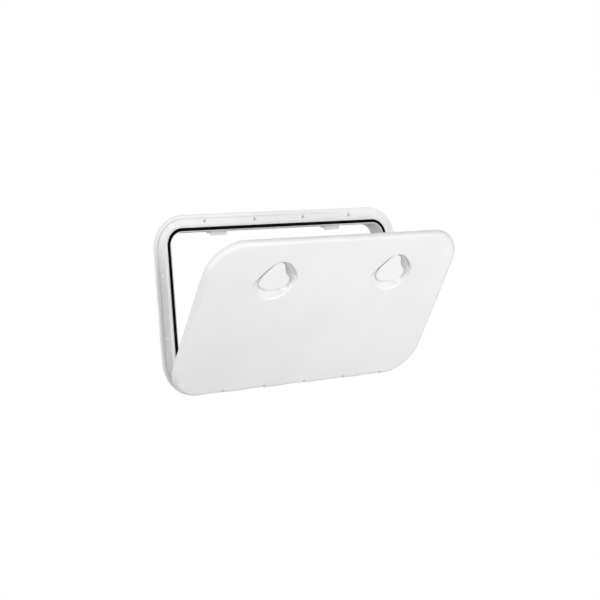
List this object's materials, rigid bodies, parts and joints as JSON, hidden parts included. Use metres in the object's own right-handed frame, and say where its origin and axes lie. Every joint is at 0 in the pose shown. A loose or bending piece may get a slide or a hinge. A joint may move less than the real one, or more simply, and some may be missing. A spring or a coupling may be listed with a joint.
{
  "type": "deck hatch",
  "caption": "Rectangular boat deck hatch: a gutter frame with a rubber seal and a neck, and a rod-hinged overlapping lid with quarter-turn handles.",
  "frame": {"origin": "centre of the frame on the deck plane, which is the underside of the flange", "axes": "+X along the hinge, to the right when seen from the hinge side; +Y from the hinge to the free edge; +Z out of the deck"},
  "size_m": [0.614, 0.3533, 0.2534],
  "materials": {
    "white_frame_plastic": "satin, UV-stable moulded plastic",
    "white_lid_plastic": "satin, faintly textured moulded plastic",
    "white_nylon": "matt moulded nylon",
    "seal_rubber": "matt black closed-cell rubber",
    "stainless_steel": "turned and passivated stainless steel"
  },
  "bodies": {
    "frame_body": {"frame": "white_frame_plastic", "seal": "seal_rubber", "keeper_left": "white_frame_plastic", "keeper_right": "white_frame_plastic", "keeper_screws": "stainless_steel"},
    "lid_body": {"lid": "white_lid_plastic", "hinge_rod": "stainless_steel", "hinge_rod_plugs": "white_lid_plastic"},
    "handle_left_body": {"handle_left": "white_lid_plastic", "spindle_o_ring_left": "seal_rubber", "wave_washer_left": "stainless_steel", "thrust_washer_left": "white_nylon", "latch_tongue_left": "white_nylon", "tongue_washer_left": "stainless_steel", "tongue_screw_left": "stainless_steel"},
    "handle_right_body": {"handle_right": "white_lid_plastic", "spindle_o_ring_right": "seal_rubber", "wave_washer_right": "stainless_steel", "thrust_washer_right": "white_nylon", "latch_tongue_right": "white_nylon", "tongue_washer_right": "stainless_steel", "tongue_screw_right": "stainless_steel"}
  },
  "joints": [
    {"name": "lid_hinge", "type": "hinge", "parent": "frame_body", "child": "lid_body", "pos_m": [0, -0.1713, 0.0084], "axis": [1, 0, 0], "range_deg": [-36.4, 68.6]},
    {"name": "handle_left_turn", "type": "hinge", "parent": "lid_body", "child": "handle_left_body", "pos_m": [-0.1434, 0.03971, 0.15527], "axis": [0, -0.5934, 0.8049], "range_deg": [-90, 0]},
    {"name": "handle_right_turn", "type": "hinge", "parent": "lid_body", "child": "handle_right_body", "pos_m": [0.1434, 0.03971, 0.15527], "axis": [0, -0.5934, 0.8049], "range_deg": [-90, 0]}
  ]
}
